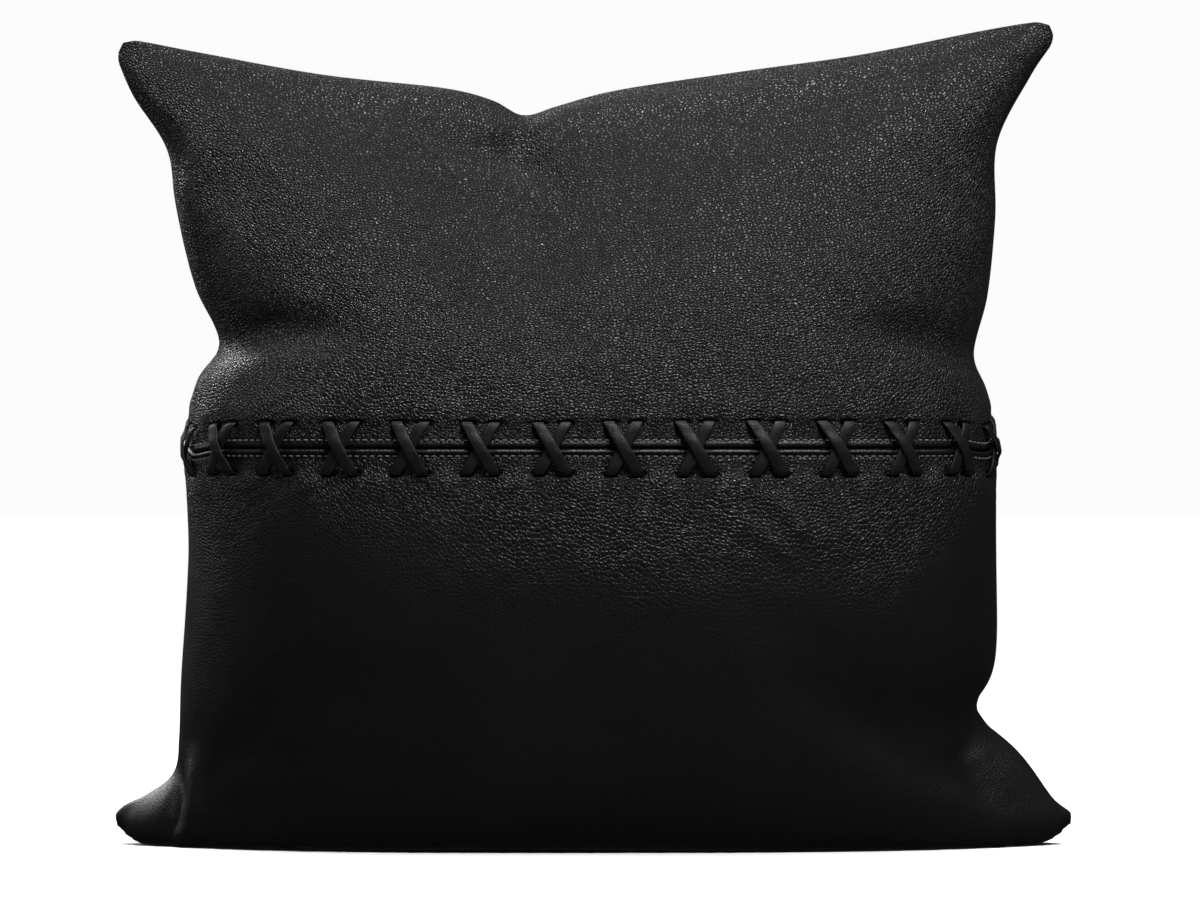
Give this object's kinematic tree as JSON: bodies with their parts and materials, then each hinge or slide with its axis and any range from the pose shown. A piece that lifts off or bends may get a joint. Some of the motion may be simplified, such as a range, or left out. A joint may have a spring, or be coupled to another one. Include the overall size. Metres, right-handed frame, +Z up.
{
  "type": "throw pillow",
  "caption": "Square leather throw pillow standing on its base, front panels joined by a laced middle seam, zip in the bottom seam, feather cushion inside",
  "frame": {"origin": "middle of the bounding box on the plane that the base rests on", "axes": "+X along the width to the viewer's right when facing the laced front, +Y from the laced front to the back, +Z up"},
  "size_m": [0.49, 0.1844, 0.421],
  "materials": {
    "leather_front": "satin",
    "leather_back": "satin",
    "lace_leather": "matte",
    "ticking": "matte",
    "feathers": "matte",
    "zip_tape": "matte",
    "zip_nylon": "satin",
    "zip_metal": "satin"
  },
  "bodies": {
    "cover": {"front_upper_panel": "leather_front", "front_lower_panel": "leather_front", "back_panel": "leather_back", "lace_under": "lace_leather", "lace_over": "lace_leather", "insert_front_ticking": "ticking", "insert_back_ticking": "ticking", "feather_fill": "feathers", "zip_tape_front": "zip_tape", "zip_tape_back": "zip_tape", "zip_teeth_front": "zip_nylon", "zip_teeth_back": "zip_nylon", "zip_closed_stop_front": "zip_metal", "zip_closed_stop_back": "zip_metal", "zip_open_stop": "zip_metal"},
    "slider": {"zip_slider": "zip_metal"},
    "pull": {"zip_pull": "zip_metal"}
  },
  "joints": [
    {"name": "zip_slide", "type": "slide", "parent": "cover", "child": "slider", "axis": [-1, 0, 0], "range_m": [0, 0.371]},
    {"name": "pull_swing", "type": "hinge", "parent": "slider", "child": "pull", "pos_m": [0.1857, 0, 0.0051], "axis": [0, -1, 0], "range_deg": [0, 180]}
  ]
}
